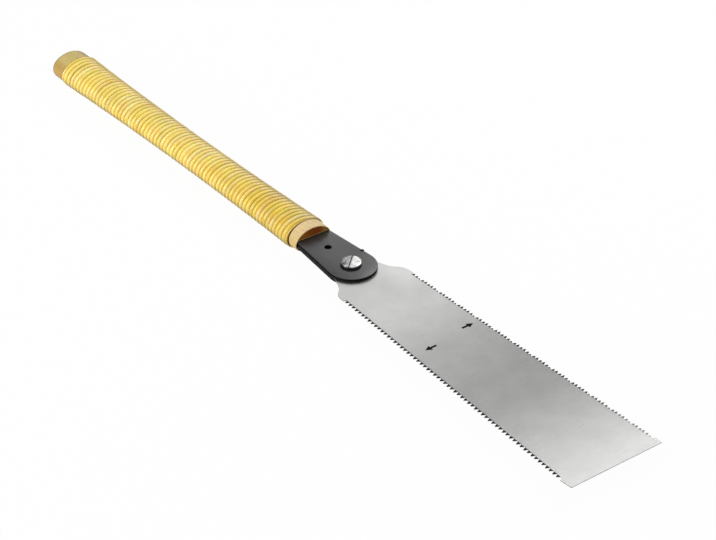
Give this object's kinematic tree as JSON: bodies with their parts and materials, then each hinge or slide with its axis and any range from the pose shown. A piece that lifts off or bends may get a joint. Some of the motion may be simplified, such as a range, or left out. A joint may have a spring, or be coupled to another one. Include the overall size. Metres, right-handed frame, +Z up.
{
  "type": "ryoba saw",
  "caption": "Pull saw with a rip edge and a crosscut edge on a flared blade, clamped by a slotted screw in a plate holder on a straight cane-wrapped wooden handle.",
  "frame": {"origin": "on the floor under the middle of the saw, where it lies level on the two flared ends of its handle", "axes": "+X along the saw from the butt to the blade's tip, +Y across it towards the crosscut edge, +Z up"},
  "size_m": [0.6428, 0.078, 0.0238],
  "materials": {
    "blade_steel": "fine satin with dark hardened tooth points",
    "black_steel": "satin black oxide",
    "stud_steel": "black oxide",
    "bare_steel": "bare steel",
    "nickel": "bright nickel plate",
    "dark_steel": "dark steel",
    "pale_wood": "bare, smooth",
    "collar_wood": "bare, fine grain",
    "brown_wood": "oiled",
    "cane": "natural gloss"
  },
  "bodies": {
    "handle": {"handle_core": "pale_wood", "front_collar": "collar_wood", "mouth_plug_top": "brown_wood", "mouth_plug_bottom": "brown_wood", "cane_wrap": "cane", "holder_top_plate": "black_steel", "holder_bottom_plate": "black_steel", "holder_spacer": "bare_steel", "edge_stud": "stud_steel", "tang_pin_front": "bare_steel", "tang_pin_rear": "bare_steel", "clamp_nut": "dark_steel"},
    "blade": {"blade": "blade_steel"},
    "washer": {"screw_washer": "dark_steel"},
    "screw": {"clamp_screw": "nickel"}
  },
  "joints": [
    {"name": "blade_slide", "type": "slide", "parent": "handle", "child": "blade", "axis": [1, 0, 0], "range_m": [0, 0.06]},
    {"name": "washer_lift", "type": "slide", "parent": "handle", "child": "washer", "axis": [0, 0, 1], "range_m": [0, 0.004]},
    {"name": "screw_turn", "type": "hinge", "parent": "washer", "child": "screw", "pos_m": [0.0392, 0, 0.01191], "axis": [0, 0, 1], "range_deg": [0, 1440]}
  ],
  "couplings": [
    {"joint": "screw_turn", "follows": "washer_lift", "rad_per_m": 6283.2}
  ]
}
